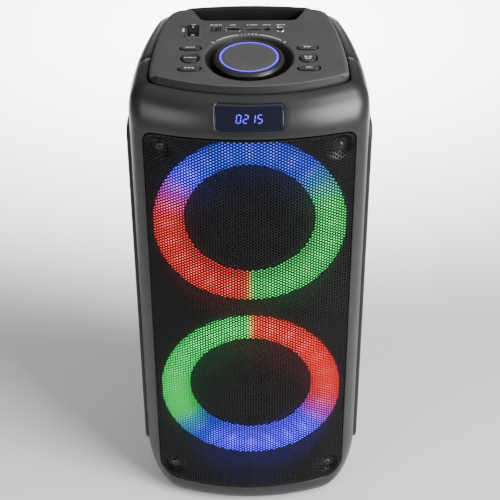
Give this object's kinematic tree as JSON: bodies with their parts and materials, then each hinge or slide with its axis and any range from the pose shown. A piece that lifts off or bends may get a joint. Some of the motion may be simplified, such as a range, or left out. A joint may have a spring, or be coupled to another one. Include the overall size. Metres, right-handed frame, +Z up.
{
  "type": "party speaker",
  "caption": "Tall portable party speaker with two woofers behind a perforated grille, lit rings, and a top control plate with a volume knob, buttons, sockets and a carry handle.",
  "frame": {"origin": "bottom centre of the bounding box: the feet stand on z = 0", "axes": "+X to the right as seen from the front, +Y from the grille to the back, +Z up"},
  "size_m": [0.2186, 0.195, 0.4807],
  "materials": {
    "shell": "satin black moulded plastic, fine grain",
    "plate": "dark grey moulded plastic, fine spark texture",
    "black_plastic": "matt black moulded plastic",
    "gloss_black": "polished black plastic",
    "grille_metal": "black powder coat on perforated steel",
    "diffuser": "frosted light diffuser, lit in several colours",
    "knob_light": "frosted light guide, lit violet blue",
    "display": "tinted display lens with lit digits",
    "cone_paper": "pressed black paper",
    "rubber": "moulded rubber",
    "spider_cloth": "resin-dipped corrugated cloth",
    "copper": "wound copper wire",
    "steel": "zinc plated steel",
    "screw_black": "black oxide screws",
    "ferrite": "ferrite magnet with plated plates",
    "basket_metal": "black painted pressed steel",
    "board": "green circuit board",
    "light_board": "white circuit board with light emitters",
    "aluminium": "extruded heatsink",
    "battery": "shrink-wrapped cells"
  },
  "bodies": {
    "cabinet": {"front_bezel": "shell", "rear_cabinet": "shell", "side_panel_left": "shell", "side_panel_right": "shell", "front_baffle": "black_plastic", "grille": "grille_metal", "grille_screws": "screw_black", "upper_light_ring": "diffuser", "lower_light_ring": "diffuser", "upper_led_board": "light_board", "lower_led_board": "light_board", "woofer_screws": "screw_black", "display_window": "display", "display_module": "black_plastic", "control_plate": "plate", "handle_bar": "gloss_black", "handle_well": "black_plastic", "encoder_body": "steel", "button_boards": "board", "tact_switches": "steel", "rocker_housing": "black_plastic", "dc_jack": "black_plastic", "usb_port": "steel", "card_slot": "steel", "aux_jack": "black_plastic", "mic_jack": "steel", "control_board": "board", "amplifier_board": "board", "heatsink": "aluminium", "battery_pack": "battery", "battery_bracket": "black_plastic", "bass_port": "black_plastic", "base_cover": "black_plastic", "rubber_feet": "rubber", "case_screws": "screw_black", "upper_basket": "basket_metal", "upper_magnet": "ferrite", "upper_surround": "rubber", "upper_spider": "spider_cloth", "lower_basket": "basket_metal", "lower_magnet": "ferrite", "lower_surround": "rubber", "lower_spider": "spider_cloth"},
    "knob": {"volume_knob": "black_plastic", "knob_light_ring": "knob_light", "knob_cap": "plate", "encoder_shaft": "steel"},
    "rocker": {"power_rocker": "gloss_black"},
    "upper_cone_assembly": {"upper_cone": "cone_paper", "upper_dust_cap": "cone_paper", "upper_voice_coil": "copper"},
    "lower_cone_assembly": {"lower_cone": "cone_paper", "lower_dust_cap": "cone_paper", "lower_voice_coil": "copper"},
    "left_rear_button": {"button_left_rear": "plate"},
    "left_middle_button": {"button_left_middle": "plate"},
    "left_front_button": {"button_left_front": "plate"},
    "right_rear_button": {"button_right_rear": "plate"},
    "right_middle_button": {"button_right_middle": "plate"},
    "right_front_button": {"button_right_front": "plate"}
  },
  "joints": [
    {"name": "volume_turn", "type": "hinge", "parent": "cabinet", "child": "knob", "pos_m": [0, -0.02098, 0.47505], "axis": [0, -0.0419, 0.9991], "continuous": true},
    {"name": "power_switch", "type": "hinge", "parent": "cabinet", "child": "rocker", "pos_m": [-0.0505, 0.0259, 0.47401], "axis": [1, 0, 0], "range_deg": [-24, 0]},
    {"name": "left_rear_press", "type": "slide", "parent": "cabinet", "child": "left_rear_button", "axis": [0, 0.0419, -0.9991], "range_m": [0, 0.0012], "stiffness_N_per_m": 800, "springref_m": -0.0003},
    {"name": "left_middle_press", "type": "slide", "parent": "cabinet", "child": "left_middle_button", "axis": [0, 0.0419, -0.9991], "range_m": [0, 0.0012], "stiffness_N_per_m": 800, "springref_m": -0.0003},
    {"name": "left_front_press", "type": "slide", "parent": "cabinet", "child": "left_front_button", "axis": [0, 0.0419, -0.9991], "range_m": [0, 0.0012], "stiffness_N_per_m": 800, "springref_m": -0.0003},
    {"name": "right_rear_press", "type": "slide", "parent": "cabinet", "child": "right_rear_button", "axis": [0, 0.0419, -0.9991], "range_m": [0, 0.0012], "stiffness_N_per_m": 800, "springref_m": -0.0003},
    {"name": "right_middle_press", "type": "slide", "parent": "cabinet", "child": "right_middle_button", "axis": [0, 0.0419, -0.9991], "range_m": [0, 0.0012], "stiffness_N_per_m": 800, "springref_m": -0.0003},
    {"name": "right_front_press", "type": "slide", "parent": "cabinet", "child": "right_front_button", "axis": [0, 0.0419, -0.9991], "range_m": [0, 0.0012], "stiffness_N_per_m": 800, "springref_m": -0.0003},
    {"name": "upper_cone_stroke", "type": "slide", "parent": "cabinet", "child": "upper_cone_assembly", "axis": [0, 1, 0], "range_m": [-0.004, 0.004], "stiffness_N_per_m": 1500, "deforming": ["upper_surround", "upper_spider"]},
    {"name": "lower_cone_stroke", "type": "slide", "parent": "cabinet", "child": "lower_cone_assembly", "axis": [0, 1, 0], "range_m": [-0.004, 0.004], "stiffness_N_per_m": 1500, "deforming": ["lower_surround", "lower_spider"]}
  ]
}
